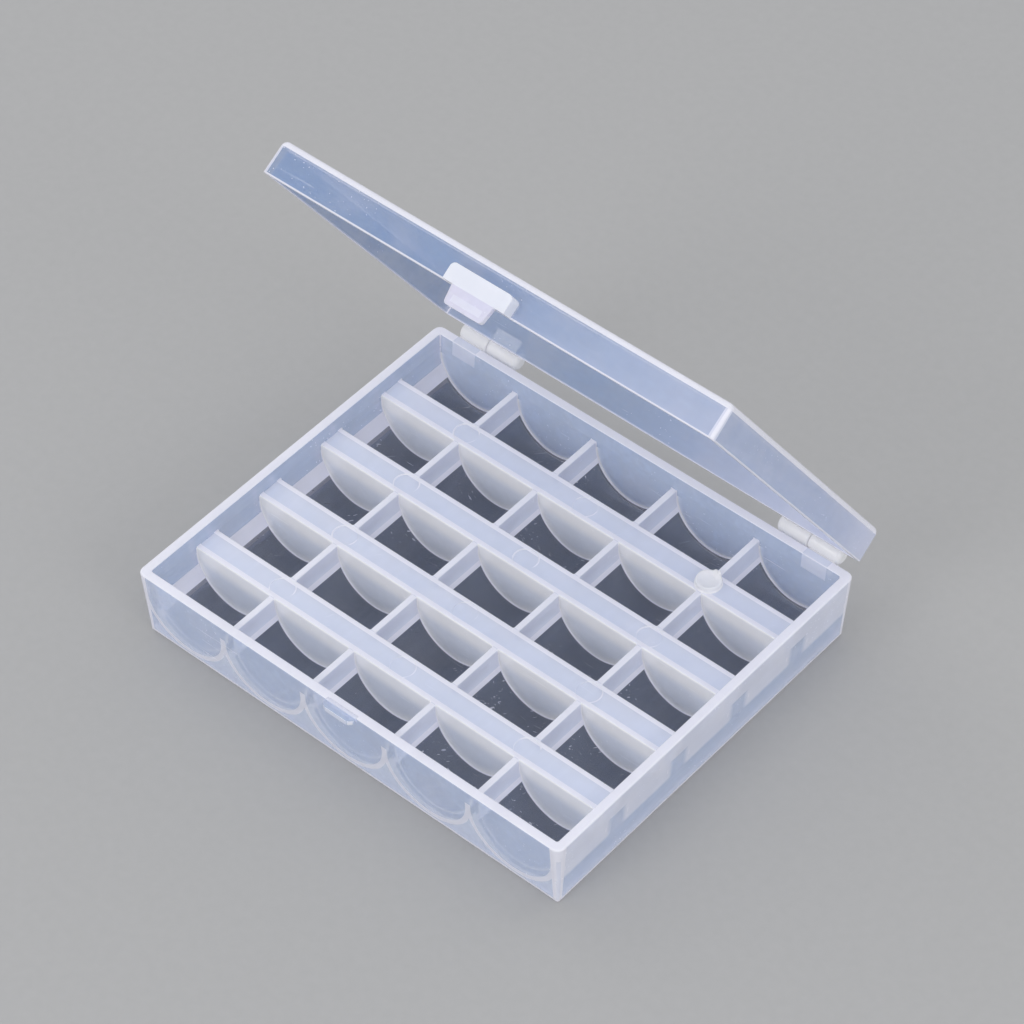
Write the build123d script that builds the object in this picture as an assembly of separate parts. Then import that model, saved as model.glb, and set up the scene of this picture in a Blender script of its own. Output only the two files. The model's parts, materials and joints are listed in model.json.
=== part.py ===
from build123d import *
from math import atan2, degrees
import os

# Bobbin storage box: a moulded tray with round-bottomed pockets and a hinged lid.
# X runs along the front, Y from the front to the hinge, Z up.
# The origin is the middle of the tray's foot, on the surface it stands on. Sizes are in millimetres.

# Pockets: each holds one bobbin on its edge, its axle along Y
pocket_columns = 5
pocket_rows = 5
pocket_length = 22.6          # along X, and the diameter of the round bottom
pocket_width = 13.95          # along Y
divider_thickness = 1.6       # between two pockets of a row
band_width = 7.15             # hollow band between two rows
floor_height = 2.7            # lowest point of a pocket above the foot
divider_top = 15.6            # height of dividers and bands
cradle_wall = 1.4             # shell under the round bottoms
band_wall = 1.4               # upright sides of a band
band_roof = 1.3

# Tray walls
tray_height = 19.6
rim_thickness = 2.4
inner_flare = 0.3             # how far the inside widens from the dividers to the rim, per side
tray_draft = 1.4              # how far the outside narrows from the rim to the foot, per side
foot_corner_radius = 0.6
rim_edge_radius = 0.4

# Lid
lid_height = 8.5
lid_wall = 1.5
lid_roof = 1.4
lid_draft = 0.2               # how far the lid narrows towards its top, per side
lid_corner_radius = 1.8       # upright corners
lid_edge_radius = 1.5         # round the top
lid_inner_radius = 0.6        # corners and roof edge inside
seam_gap = 0.3                # between rim and closed lid
lid_open_angle = 56.4         # how far the lid stands open

# Hinge: two pairs of knuckles behind the back wall
hinge_standoff = 2.9          # axis behind the back wall's rim
hinge_drop = 0.4              # axis below the rim
knuckle_radius = 2.5
knuckle_end_radius = 1.5
hinge_inset = 14.25           # from the end of the rim to the joint between two knuckles
knuckle_gap = 0.3
tray_knuckle_length = 8.6
lid_knuckle_length = 9.0
pin_radius = 1.3
pin_length = 5.0
pin_clearance = 0.05
pin_end_clearance = 0.4
tray_arm_width = 7.0
tray_arm_height = 3.8         # reach of the arm below the axis
lid_arm_width = 7.2
lid_arm_height = 4.2          # reach of the arm above the axis
arm_offset = 0.7              # from the knuckle's inner face to its arm

# Latch on the lid and catch on the tray
catch_length = 9.0
catch_reach = 2.0
catch_thickness = 1.2
catch_corner_radius = 1.8
latch_clearance = 0.3
pad_length = 16.8
pad_height = 4.2
pad_corner_radius = 1.2
tongue_length = 11.4          # along the lid's rim
tongue_tip_length = 10.2      # the tongue narrows towards its tip
tongue_drop = 4.4             # below the lid's rim
tongue_thickness = 1.4
tongue_corner_radius = 0.9
hook_length = 8.0
hook_height = 1.6
hook_reach = 0.8

# A feature moulded onto a wall starts this far inside it and is then trimmed by the wall's face
root = 2.0

# What follows from the sizes above
cradle_radius = pocket_length / 2
shell_radius = cradle_radius + cradle_wall
cradle_centre = floor_height + cradle_radius
column_pitch = pocket_length + divider_thickness
row_pitch = pocket_width + band_width
inner_length = pocket_columns * column_pitch - divider_thickness
inner_width = pocket_rows * row_pitch - band_width
rim_length = inner_length + 2 * (inner_flare + rim_thickness)
rim_width = inner_width + 2 * (inner_flare + rim_thickness)
knuckle_split = rim_length / 2 - hinge_inset
hinge_y = rim_width / 2 + hinge_standoff
hinge_z = tray_height - hinge_drop
lid_rim_z = tray_height + seam_gap
pad_reach = catch_reach + latch_clearance + tongue_thickness
tongue_inside = -rim_width / 2 - catch_reach - latch_clearance
hook_top = tray_height - catch_thickness - latch_clearance


def column_centre(column):
    return (column - (pocket_columns - 1) / 2) * column_pitch


def row_centre(row):
    return (row - (pocket_rows - 1) / 2) * row_pitch


def extrude_y(section, start, length):
    """An X-Z section made solid along +Y."""
    plane = Plane((0, start, 0), x_dir=(1, 0, 0), z_dir=(0, -1, 0))
    return extrude(plane * section, length, dir=(0, 1, 0))


def extrude_x(section, start, length):
    """A Y-Z section made solid along +X."""
    plane = Plane((start, 0, 0), x_dir=(0, 1, 0), z_dir=(1, 0, 0))
    return extrude(plane * section, length, dir=(1, 0, 0))


def tray_outside():
    """The tray's outer form: it narrows towards the foot, with a softened rim."""
    taper = degrees(atan2(tray_draft, tray_height))
    foot = RectangleRounded(
        rim_length - 2 * tray_draft, rim_width - 2 * tray_draft, foot_corner_radius
    )
    body = extrude(foot, tray_height, taper=-taper)
    return fillet(body.faces().sort_by(Axis.Z)[-1].edges(), rim_edge_radius)


def tray_frame():
    """Four walls round the pockets, open above and below, with a wider mouth above the dividers."""
    well = Rectangle(inner_length, inner_width)
    mouth_height = tray_height - divider_top
    mouth_taper = degrees(atan2(inner_flare, mouth_height))
    mouth = extrude(Pos(0, 0, divider_top) * well, mouth_height, taper=-mouth_taper)
    return tray_outside() - extrude(well, divider_top) - mouth


def side_reach(column, side):
    """Each pocket takes half of the divider beside it; the tray's wall closes the ends of a row."""
    end_column = 0 if side < 0 else pocket_columns - 1
    return cradle_radius + (0 if column == end_column else divider_thickness / 2)


def filled_section(column):
    """X-Z section of one pocket with its shell, as if the pocket were filled."""
    left = side_reach(column, -1)
    right = side_reach(column, 1)
    middle = (right - left) / 2
    upper_height = divider_top - cradle_centre
    upper = Pos(middle, cradle_centre + upper_height / 2) * Rectangle(left + right, upper_height)
    lower = Pos(middle, cradle_centre - shell_radius / 2) * Rectangle(left + right, shell_radius)
    round_bottom = Pos(0, cradle_centre) * Circle(shell_radius)
    return Pos(column_centre(column), 0) * (upper + (lower & round_bottom))


def pocket_section(column):
    """X-Z section of the hollow: straight sides over a round bottom."""
    upper_height = divider_top - cradle_centre
    upper = Pos(0, cradle_centre + upper_height / 2) * Rectangle(pocket_length, upper_height)
    round_bottom = Pos(0, cradle_centre) * Circle(cradle_radius)
    return Pos(column_centre(column), 0) * (upper + round_bottom)


def cradle(row, column):
    section = filled_section(column) - pocket_section(column)
    return extrude_y(section, row_centre(row) - pocket_width / 2, pocket_width)


def band(gap):
    """Roof and two walls between two rows; the walls follow the round bottoms, the inside is hollow."""
    section = filled_section(0)
    for column in range(1, pocket_columns):
        section += filled_section(column)
    front = row_centre(gap) + pocket_width / 2
    hollow_height = divider_top - band_roof
    hollow = Pos(0, front + band_width / 2, hollow_height / 2) * Box(
        inner_length, band_width - 2 * band_wall, hollow_height
    )
    return extrude_y(section, front, band_width) - hollow


def catch():
    """Flat lip on the front rim, level with it, under which the latch snaps."""
    plan = Rectangle(catch_length, catch_reach + root)
    plan = fillet(plan.vertices().group_by(Axis.Y)[0], catch_corner_radius)
    front_middle = -rim_width / 2 - (catch_reach - root) / 2
    lip = extrude(Pos(0, front_middle, tray_height - catch_thickness) * plan, catch_thickness)
    return lip - tray_outside()


def knuckle(inner_end, length, rounded_side):
    """A barrel on the hinge axis, rounded at the end that stands free."""
    barrel = Pos(inner_end + length / 2, hinge_y, hinge_z) * Cylinder(
        knuckle_radius, length, rotation=(0, 90, 0)
    )
    free_end = barrel.edges().filter_by(GeomType.CIRCLE).sort_by(Axis.X)[rounded_side]
    return fillet(free_end, knuckle_end_radius)


def tray_hinge():
    """Right-hand knuckle of the tray, with its arm from the back wall and its pin."""
    inner_end = knuckle_split + knuckle_gap / 2
    arm_section = Polygon(
        (rim_width / 2 - root, hinge_z - tray_arm_height),
        (hinge_y, hinge_z - knuckle_radius),
        (hinge_y, hinge_z),
        (rim_width / 2 - root, hinge_z),
        align=None,
    )
    arm = extrude_x(arm_section, inner_end + arm_offset, tray_arm_width)
    pin = Pos(inner_end - pin_length / 2, hinge_y, hinge_z) * Cylinder(
        pin_radius, pin_length, rotation=(0, 90, 0)
    )
    return knuckle(inner_end, tray_knuckle_length, -1) + (arm - tray_outside()) + pin


def drafted_block(length, width, height, corner_radius, edge_radius):
    """A block on the lid's rim plane that narrows upwards, with rounded corners and top edge."""
    taper = degrees(atan2(lid_draft, lid_height))
    block = extrude(Pos(0, 0, lid_rim_z) * Rectangle(length, width), height, taper=taper)
    block = fillet(block.edges().group_by(Axis.Z)[1], corner_radius)
    return fillet(block.faces().sort_by(Axis.Z)[-1].edges(), edge_radius)


def lid_outside():
    """The lid's outer form when shut."""
    return drafted_block(rim_length, rim_width, lid_height, lid_corner_radius, lid_edge_radius)


def lid_shell():
    hollow = drafted_block(
        rim_length - 2 * lid_wall,
        rim_width - 2 * lid_wall,
        lid_height - lid_roof,
        lid_inner_radius,
        lid_inner_radius,
    )
    return lid_outside() - hollow


def latch():
    """Thick pad on the lid's front wall, and a tongue with a hook that reaches under the catch."""
    front = -rim_width / 2 - pad_reach
    pad_section = Pos(0, lid_rim_z + pad_height / 2) * Rectangle(pad_length, pad_height)
    pad_section = fillet(pad_section.vertices().group_by(Axis.Y)[-1], pad_corner_radius)
    pad = extrude_y(pad_section, front, pad_reach + root) - lid_outside()
    tongue_section = Polygon(
        (-tongue_length / 2, lid_rim_z),
        (-tongue_tip_length / 2, lid_rim_z - tongue_drop),
        (tongue_tip_length / 2, lid_rim_z - tongue_drop),
        (tongue_length / 2, lid_rim_z),
        align=None,
    )
    tongue_section = fillet(tongue_section.vertices().group_by(Axis.Y)[0], tongue_corner_radius)
    tongue = extrude_y(tongue_section, front, tongue_thickness)
    hook_section = Polygon(
        (tongue_inside, hook_top),
        (tongue_inside + hook_reach, hook_top),
        (tongue_inside + hook_reach, hook_top - hook_height / 2),
        (tongue_inside, hook_top - hook_height),
        align=None,
    )
    hook = extrude_x(hook_section, -hook_length / 2, hook_length)
    return pad + tongue + hook


def lid_hinge():
    """Right-hand knuckle of the shut lid, bored for the tray's pin, with its arm to the lid's wall."""
    outer_end = knuckle_split - knuckle_gap / 2
    arm_section = Polygon(
        (rim_width / 2 - root, lid_rim_z),
        (rim_width / 2 + seam_gap, lid_rim_z),
        (hinge_y, hinge_z),
        (hinge_y, hinge_z + knuckle_radius),
        (rim_width / 2 - root, hinge_z + lid_arm_height),
        align=None,
    )
    arm = extrude_x(arm_section, outer_end - arm_offset - lid_arm_width, lid_arm_width)
    bore_length = pin_length - knuckle_gap + pin_end_clearance
    bore = Pos(outer_end - bore_length / 2, hinge_y, hinge_z) * Cylinder(
        pin_radius + pin_clearance, bore_length, rotation=(0, 90, 0)
    )
    barrel = knuckle(outer_end - lid_knuckle_length, lid_knuckle_length, 0)
    return barrel + (arm - lid_outside()) - bore


def opened(shape):
    """Swing a piece of the shut lid up to where the lid stands open."""
    axis = Pos(0, hinge_y, hinge_z)
    return axis * Rot(-lid_open_angle, 0, 0) * axis.inverse() * shape


nodes = {"tray_frame": tray_frame(), "catch": catch()}
for row in range(pocket_rows):
    for column in range(pocket_columns):
        nodes[f"cradle_{row + 1}_{column + 1}"] = cradle(row, column)
for gap in range(pocket_rows - 1):
    nodes[f"band_{gap + 1}"] = band(gap)
nodes["tray_hinge_right"] = tray_hinge()
nodes["tray_hinge_left"] = mirror(tray_hinge(), Plane.YZ)
nodes["lid_shell"] = opened(lid_shell())
nodes["latch"] = opened(latch())
nodes["lid_hinge_right"] = opened(lid_hinge())
nodes["lid_hinge_left"] = opened(mirror(lid_hinge(), Plane.YZ))

os.makedirs("parts", exist_ok=True)
for name, shape in nodes.items():
    export_step(shape, f"parts/{name}.step")
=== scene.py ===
import bmesh
import bpy
import json
from math import cos, pi, radians, sin, sqrt, tan
from mathutils import Matrix, Vector


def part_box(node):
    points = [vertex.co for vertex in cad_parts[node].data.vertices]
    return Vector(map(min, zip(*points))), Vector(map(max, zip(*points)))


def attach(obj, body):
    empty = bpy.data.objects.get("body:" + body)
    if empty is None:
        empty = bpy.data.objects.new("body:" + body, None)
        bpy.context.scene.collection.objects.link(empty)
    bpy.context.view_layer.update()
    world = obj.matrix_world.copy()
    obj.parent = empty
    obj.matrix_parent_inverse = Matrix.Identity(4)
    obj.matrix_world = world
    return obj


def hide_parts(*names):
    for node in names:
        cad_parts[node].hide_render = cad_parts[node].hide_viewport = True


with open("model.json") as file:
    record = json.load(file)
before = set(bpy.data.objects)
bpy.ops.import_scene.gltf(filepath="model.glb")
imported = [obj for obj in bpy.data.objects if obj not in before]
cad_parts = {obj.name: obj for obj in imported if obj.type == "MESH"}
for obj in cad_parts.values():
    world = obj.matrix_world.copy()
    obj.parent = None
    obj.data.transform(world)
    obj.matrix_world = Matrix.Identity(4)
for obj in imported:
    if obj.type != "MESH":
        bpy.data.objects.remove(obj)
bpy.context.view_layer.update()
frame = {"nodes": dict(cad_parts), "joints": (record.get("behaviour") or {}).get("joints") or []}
scene = bpy.context.scene

# ----- sizes, in metres

MM = 0.001


def box_size(name):
    low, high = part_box(name)
    return Vector(high) - Vector(low)


def box_centre(name):
    low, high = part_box(name)
    return (Vector(high) + Vector(low)) / 2


# Read from the frame
tray_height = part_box("tray_frame")[1].z
column_pitch = box_size("cradle_3_3").x
row_pitch = box_centre("cradle_4_3").y - box_centre("cradle_3_3").y
pocket_width = box_size("cradle_3_3").y
divider_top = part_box("cradle_3_3")[1].z
shell_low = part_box("cradle_3_3")[0].z
well_half_x = box_size("band_1").x / 2
well_half_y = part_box("cradle_5_3")[1].y
hinge = frame["joints"][0]
hinge_y, hinge_z = hinge["pos_m"][1], hinge["pos_m"][2]
open_angle = radians(-hinge["range_deg"][0])

# Tray
COLUMNS, ROWS = 5, 5
rim_thickness = 2.4 * MM
mouth_flare = 0.3 * MM
divider = 1.6 * MM
cradle_wall = 1.4 * MM
band_wall = 1.4 * MM
band_roof = 1.3 * MM
tray_draft = 1.4 * MM
foot_corner = 0.6 * MM
foot_edge = 0.15 * MM
rim_corner = 2.0 * MM
mouth_corner = 0.5 * MM
rim_edge = 0.45 * MM
rim_inner_edge = 0.3 * MM
pocket_edge = 0.35 * MM  # rounding along the tops of dividers and bands
pocket_fillet = 0.3 * MM  # rounding where a pocket's end walls meet its bottom
hollow_corner = 0.3 * MM
rim_half_x = well_half_x + mouth_flare + rim_thickness
rim_half_y = well_half_y + mouth_flare + rim_thickness
half_pocket = pocket_width / 2
pocket_radius = (column_pitch - divider) / 2
shell_radius = pocket_radius + cradle_wall
pocket_centre_z = shell_low + shell_radius
shells_meet_z = pocket_centre_z - sqrt(shell_radius**2 - (column_pitch / 2) ** 2)
band_width = row_pitch - pocket_width

# Marks left by the mould
MARK_COLUMNS = 3
pin_mark_radius = 2.95 * MM
pin_mark_depth = 0.09 * MM
pin_mark_pitch = 1.5 * column_pitch
gate_place = Vector((1.5 * column_pitch, 1.5 * row_pitch, divider_top))
gate_radius = 3.1 * MM
gate_height = 1.3 * MM
gate_foot = 0.25 * MM  # how far the boss spreads at its foot
gate_foot_height = 0.3 * MM
gate_dish_radius = 0.5 * MM  # the flat middle of the dish
gate_dish_depth = 0.55 * MM
GATE_RIM = ((0, 0.35), (0.12, 0.1), (0.4, 0), (0.8, 0.15), (1.4, 0.45))  # in and down, in mm
burr_place = Vector((0.5 * MM, gate_radius - 0.4 * MM, gate_height))
burr_band = 0.2 * MM  # only what stands this near the boss's top is torn
burr_reach = 1.5 * MM
burr_height = 1.1 * MM
burr_lean = 0.35
BURR_LEAST, BURR_SWING, BURR_WAVES = 0.7, 0.6, 9000

# Lid, shut
seam_gap = 0.3 * MM
lid_rim_z = tray_height + seam_gap
lid_height = 8.5 * MM
lid_top = lid_rim_z + lid_height
lid_wall = 1.5 * MM
lid_roof = 1.4 * MM
lid_draft = 0.2 * MM
lid_corner = 1.8 * MM
lid_least_corner = 0.2 * MM
lid_edge = 1.5 * MM
lid_inner_edge = 0.6 * MM
lid_rim_edge = 0.25 * MM

# Hinge
root = 0.8 * MM  # how far a feature starts inside the wall it grows from
knuckle_radius = 2.5 * MM
knuckle_end = 1.5 * MM  # rounding of a knuckle's free end
hinge_inset = 14.25 * MM
knuckle_split = rim_half_x - hinge_inset
knuckle_gap = 0.3 * MM
tray_knuckle_length = 8.6 * MM
lid_knuckle_length = 9.0 * MM
pin_radius = 1.3 * MM
pin_length = 5.0 * MM
pin_clearance = 0.05 * MM
bore_length = 5.1 * MM
arm_offset = 0.7 * MM
tray_arm_start = knuckle_split + knuckle_gap / 2 + arm_offset
tray_arm_width = 7.0 * MM
tray_arm_height = 3.8 * MM
lid_arm_width = 7.2 * MM
lid_arm_height = 4.2 * MM
small_edge = 0.2 * MM

# Latch and catch
catch_half = 4.5 * MM
catch_reach = 2.0 * MM
catch_thickness = 1.2 * MM
catch_corner = 1.8 * MM
latch_clearance = 0.3 * MM
tongue_thickness = 1.4 * MM
pad_half = 8.4 * MM
pad_height = 4.2 * MM
pad_corner = 1.2 * MM
pad_edge = 0.4 * MM
tongue_half = 5.7 * MM
tongue_tip_half = 5.1 * MM
tongue_drop = 4.4 * MM
tongue_corner = 0.9 * MM
hook_half = 4.0 * MM
hook_height = 1.6 * MM
hook_reach = 0.8 * MM
hook_top = tray_height - catch_thickness - latch_clearance
pad_reach = catch_reach + latch_clearance + tongue_thickness

# Fineness of the rounded shapes
ARC_STEPS = 4
POCKET_STEPS = 28
SHELL_STEPS = 20
MARK_STEPS = 40
BARREL_STEPS = 36
OUTLINE_STEPS = 5
BEVEL_STEPS = 3
BEVEL_ANGLE = radians(40)  # edges that turn by more are rounded
SHADING_ANGLE = radians(35)  # edges that turn by more are shaded as sharp

open_lid = (
    Matrix.Translation((0, hinge_y, hinge_z))
    @ Matrix.Rotation(-open_angle, 4, "X")
    @ Matrix.Translation((0, -hinge_y, -hinge_z))
)


# ----- mesh helpers

def rounding(steps=ARC_STEPS):
    """Round a quarter arc: the share of its radius still left one way, and gone the other way."""
    turns = [k / steps * pi / 2 for k in range(steps + 1)]
    return [(1 - sin(turn), 1 - cos(turn)) for turn in turns]


def full_turns(steps):
    return [k / steps * 2 * pi for k in range(steps)]


def rounded_rectangle(half_x, half_y, radius):
    """Corner arcs of a rounded rectangle, anticlockwise from the corner at +x +y."""
    points = []
    for quarter, (sx, sy) in enumerate(((1, 1), (-1, 1), (-1, -1), (1, -1))):
        for k in range(ARC_STEPS + 1):
            angle = (quarter + k / ARC_STEPS) * pi / 2
            points.append((
                sx * (half_x - radius) + radius * cos(angle),
                sy * (half_y - radius) + radius * sin(angle),
            ))
    return points


def rounded_outline(corners):
    """A closed outline from corners given as (a, b, radius), anticlockwise."""
    points = []
    for k, (a, b, radius) in enumerate(corners):
        here = Vector((a, b))
        if not radius:
            points.append((a, b))
            continue
        before = (Vector(corners[k - 1][:2]) - here).normalized()
        after = (Vector(corners[(k + 1) % len(corners)][:2]) - here).normalized()
        half = before.angle(after) / 2
        middle = here + (before + after).normalized() * radius / sin(half)
        first = here + before * radius / tan(half) - middle
        last = here + after * radius / tan(half) - middle
        for step in range(OUTLINE_STEPS + 1):
            share = step / OUTLINE_STEPS
            spoke = (first * (1 - share) + last * share).normalized() * radius
            points.append(tuple(middle + spoke))
    return points


def rim_ring(z, inset, corner):
    """A level ring that follows the rim's outline, set in from it."""
    outline = rounded_rectangle(rim_half_x - inset, rim_half_y - inset, corner)
    return [Vector((x, y, z)) for x, y in outline]


def bridge(bm, first, second, closed=True):
    """Faces between two rows of vertices."""
    for i in range(len(first) if closed else len(first) - 1):
        j = (i + 1) % len(first)
        bm.faces.new((first[i], first[j], second[j], second[i]))


def loft(rings):
    """A solid skinned over rings of the same count, listed from one end to the other."""
    bm = bmesh.new()
    loops = [[bm.verts.new(point) for point in ring] for ring in rings]
    for first, second in zip(loops, loops[1:]):
        bridge(bm, first, second)
    bm.faces.new(list(reversed(loops[0])))
    bm.faces.new(loops[-1])
    return bm


def finish_mesh(bm, name):
    bmesh.ops.remove_doubles(bm, verts=bm.verts, dist=1e-7)
    bmesh.ops.recalc_face_normals(bm, faces=bm.faces)
    mesh = bpy.data.meshes.new(name)
    bm.to_mesh(mesh)
    bm.free()
    return mesh


def prism(outline, axis, start, end, edge=0.0):
    """An outline made solid along x, y or z, with its edges rounded by edge."""
    def at(a, b, along):
        return Vector({"x": (along, a, b), "y": (a, along, b), "z": (a, b, along)}[axis])

    bm = loft([[at(a, b, along) for a, b in outline] for along in (start, end)])
    if edge:
        sharp = [e for e in bm.edges if e.calc_face_angle() > BEVEL_ANGLE]
        settings = dict(segments=BEVEL_STEPS, profile=0.5, affect="EDGES", clamp_overlap=True)
        bmesh.ops.bevel(bm, geom=sharp, offset=edge, **settings)
    return finish_mesh(bm, "prism")


def barrel(start, end, radius, start_round=0.0, end_round=0.0):
    """A turned solid along x, about the hinge axis, with rounded ends."""
    arc = rounding(OUTLINE_STEPS)[1:-1]
    profile = [(start, radius - start_round)]
    if start_round:
        profile += [(start + start_round * gone, radius - start_round * left) for left, gone in arc]
    if end_round:
        profile += [(end - end_round * left, radius - end_round * gone) for left, gone in arc]
    profile.append((end, radius - end_round))
    return finish_mesh(loft([
        [Vector((x, hinge_y + r * cos(t), hinge_z + r * sin(t))) for t in full_turns(BARREL_STEPS)]
        for x, r in profile
    ]), "barrel")


def place(mesh, name):
    piece = bpy.data.objects.new(name, mesh)
    scene.collection.objects.link(piece)
    return piece


def baked(piece, name):
    """The piece with its modifiers turned into a plain mesh."""
    depsgraph = bpy.context.evaluated_depsgraph_get()
    mesh = bpy.data.meshes.new_from_object(piece.evaluated_get(depsgraph))
    mesh.name = name
    piece.modifiers.clear()
    piece.data = mesh
    return piece


def joined(name, solids, cuts=()):
    """One solid from several that overlap, less what is cut away."""
    piece = place(solids[0], name)
    helpers = []
    for operation, meshes in (("UNION", solids[1:]), ("DIFFERENCE", cuts)):
        for mesh in meshes:
            helper = place(mesh, "helper")
            helpers.append(helper)
            step = piece.modifiers.new("step", "BOOLEAN")
            step.operation = operation
            step.solver = "EXACT"
            step.object = helper
    baked(piece, name)
    for helper in helpers:
        bpy.data.objects.remove(helper)
    return piece


def mirrored(mesh):
    copy = mesh.copy()
    copy.transform(Matrix.Scale(-1, 4, (1, 0, 0)))
    copy.flip_normals()
    return copy


# ----- tray

def tray_blank():
    """Solid tray with its rounded rim and the wider mouth above the dividers, before any cut."""
    slope = tray_draft / tray_height
    mouth_inset = rim_half_x - well_half_x - mouth_flare
    rings = [
        rim_ring(0, tray_draft + foot_edge, foot_corner - foot_edge),
        rim_ring(foot_edge, tray_draft, foot_corner),
        rim_ring(tray_height - rim_edge, slope * rim_edge, rim_corner),
    ]
    for left, gone in rounding()[1:]:
        inset = slope * rim_edge * left + rim_edge * gone
        rings.append(rim_ring(tray_height - rim_edge * left, inset, rim_corner - inset))
    for left, gone in rounding():
        inset = mouth_inset - rim_inner_edge * left
        z = tray_height - rim_inner_edge * gone
        rings.append(rim_ring(z, inset, mouth_corner + mouth_inset - inset))
    rings.append(rim_ring(divider_top, rim_half_x - well_half_x, mouth_corner))
    return finish_mesh(loft(rings), "tray_blank")


def moved_out(point, out, z):
    """A point of a pocket's outline moved outwards, square to the pocket's sides, at a height."""
    flat_x = pocket_radius - pocket_fillet
    flat_y = half_pocket - pocket_fillet
    scale = (pocket_fillet + out) / pocket_fillet
    x = min(abs(point.x), flat_x) + max(abs(point.x) - flat_x, 0) * scale
    y = min(abs(point.y), flat_y) + max(abs(point.y) - flat_y, 0) * scale
    return (x if point.x > 0 else -x, y if point.y > 0 else -y, z)


def pocket_cutter():
    """One pocket as a solid: round bottom along y, straight above, with a lip that flares at the top."""
    ends = [(half_pocket - pocket_fillet * left, pocket_fillet * gone) for left, gone in rounding()]
    bm = bmesh.new()
    arcs = []
    for y, inset in [(-y, inset) for y, inset in reversed(ends)] + ends:
        radius = pocket_radius - inset
        turns = [pi + k / POCKET_STEPS * pi for k in range(POCKET_STEPS + 1)]
        arcs.append([
            bm.verts.new((radius * cos(t), y, pocket_centre_z + radius * sin(t))) for t in turns
        ])
    for near, far in zip(arcs, arcs[1:]):
        bridge(bm, near, far, closed=False)
    # the round bottom's upper edge, anticlockwise from +x +y
    edge = [arc[-1] for arc in arcs] + [arc[0] for arc in reversed(arcs)]
    levels = [(divider_top - pocket_edge * left, pocket_edge * gone) for left, gone in rounding()]
    levels.append((divider_top + pocket_edge, pocket_edge))
    ring = edge
    for z, out in levels:
        higher = [bm.verts.new(moved_out(v.co, out, z)) for v in edge]
        bridge(bm, ring, higher)
        ring = higher
    for cap in (ring, arcs[0], arcs[-1]):
        bm.faces.new(cap)
    return finish_mesh(bm, "pocket_cutter")


def underside_cutter():
    """What is open below the pockets: everything under the round shells, from wall to wall."""
    outline = [(well_half_x, -MM), (-well_half_x, -MM)]
    for column in range(COLUMNS):
        centre = (column - (COLUMNS - 1) / 2) * column_pitch
        left = -column_pitch / 2 if column else -pocket_radius
        right = column_pitch / 2 if column < COLUMNS - 1 else pocket_radius
        for k in range(SHELL_STEPS + (column == COLUMNS - 1)):
            x = left + (right - left) * k / SHELL_STEPS
            outline.append((centre + x, pocket_centre_z - sqrt(shell_radius**2 - x**2)))
    return prism(outline, "y", -well_half_y, well_half_y)


def hollow_cutter():
    """The hollow inside one band, open below."""
    outline = rounded_rectangle(well_half_x, band_width / 2 - band_wall, hollow_corner)
    return prism(outline, "z", -MM, divider_top - band_roof)


def round_ring(radius, z):
    return [Vector((radius * cos(t), radius * sin(t), z)) for t in full_turns(MARK_STEPS)]


def pin_mark_cutter():
    """The shallow round mark that an ejector pin leaves."""
    rings = [
        round_ring(pin_mark_radius, divider_top - pin_mark_depth),
        round_ring(pin_mark_radius + pin_mark_depth, divider_top + pin_mark_depth),
    ]
    return finish_mesh(loft(rings), "pin_mark_cutter")


def gate_stub_mesh():
    """The dished boss where the melt came in, with the torn rest of the sprue on its rim."""
    foot_radius = gate_radius + gate_foot
    section = [(foot_radius, -root), (foot_radius, 0), (gate_radius, gate_foot_height)]
    section += [(gate_radius - inward * MM, gate_height - down * MM) for inward, down in GATE_RIM]
    section.append((gate_dish_radius, gate_height - gate_dish_depth))
    bm = loft([round_ring(radius, z) for radius, z in section])
    for vertex in bm.verts:
        near = (vertex.co - burr_place).length
        if vertex.co.z > gate_height - burr_band and near < burr_reach:
            lift = (1 - near / burr_reach) * burr_height
            vertex.co.z += lift * (BURR_LEAST + BURR_SWING * sin(vertex.co.x * BURR_WAVES))
            vertex.co.y += lift * burr_lean
        vertex.co += gate_place
    return finish_mesh(bm, "gate_stub")


def tray_knuckle():
    """The knuckle, its arm and its pin on the right, and nothing cut away."""
    inner = knuckle_split + knuckle_gap / 2
    arm = [
        (hinge_y, hinge_z - knuckle_radius),
        (hinge_y, hinge_z),
        (rim_half_y - root, hinge_z),
        (rim_half_y - root, hinge_z - tray_arm_height),
    ]
    return (
        barrel(inner, inner + tray_knuckle_length, knuckle_radius, small_edge, knuckle_end),
        prism(arm, "x", tray_arm_start, tray_arm_start + tray_arm_width, small_edge),
        barrel(inner - pin_length, inner + root, pin_radius, small_edge, 0),
    ), ()


def catch_lip():
    plan = rounded_outline([
        (-catch_half, root - rim_half_y, 0),
        (-catch_half, -rim_half_y - catch_reach, catch_corner),
        (catch_half, -rim_half_y - catch_reach, catch_corner),
        (catch_half, root - rim_half_y, 0),
    ])
    return prism(plan, "z", tray_height - catch_thickness, tray_height, small_edge)


# ----- lid

def lid_mesh():
    """The shut lid: one skin from inside the roof, down the inner wall, round the rim and up outside."""
    slope = lid_draft / lid_height
    inner_height = lid_height - lid_roof
    rings = []

    def ring(z, inset, corner):
        rings.append(rim_ring(lid_rim_z + z, inset, corner))

    for left, gone in rounding():
        inset = lid_wall + slope * inner_height + lid_inner_edge * left
        ring(inner_height - lid_inner_edge * gone, inset, lid_inner_edge)
    for left, gone in rounding():
        ring(lid_rim_edge * left, lid_wall - lid_rim_edge * gone, lid_inner_edge)
    for left, gone in rounding():
        ring(lid_rim_edge * gone, lid_rim_edge * left, lid_corner)
    for left, gone in rounding(2 * ARC_STEPS):
        inset = slope * (lid_height - lid_edge) + lid_edge * gone
        ring(lid_height - lid_edge * left, inset, max(lid_corner - inset, lid_least_corner))
    return finish_mesh(loft(rings), "lid")


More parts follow.
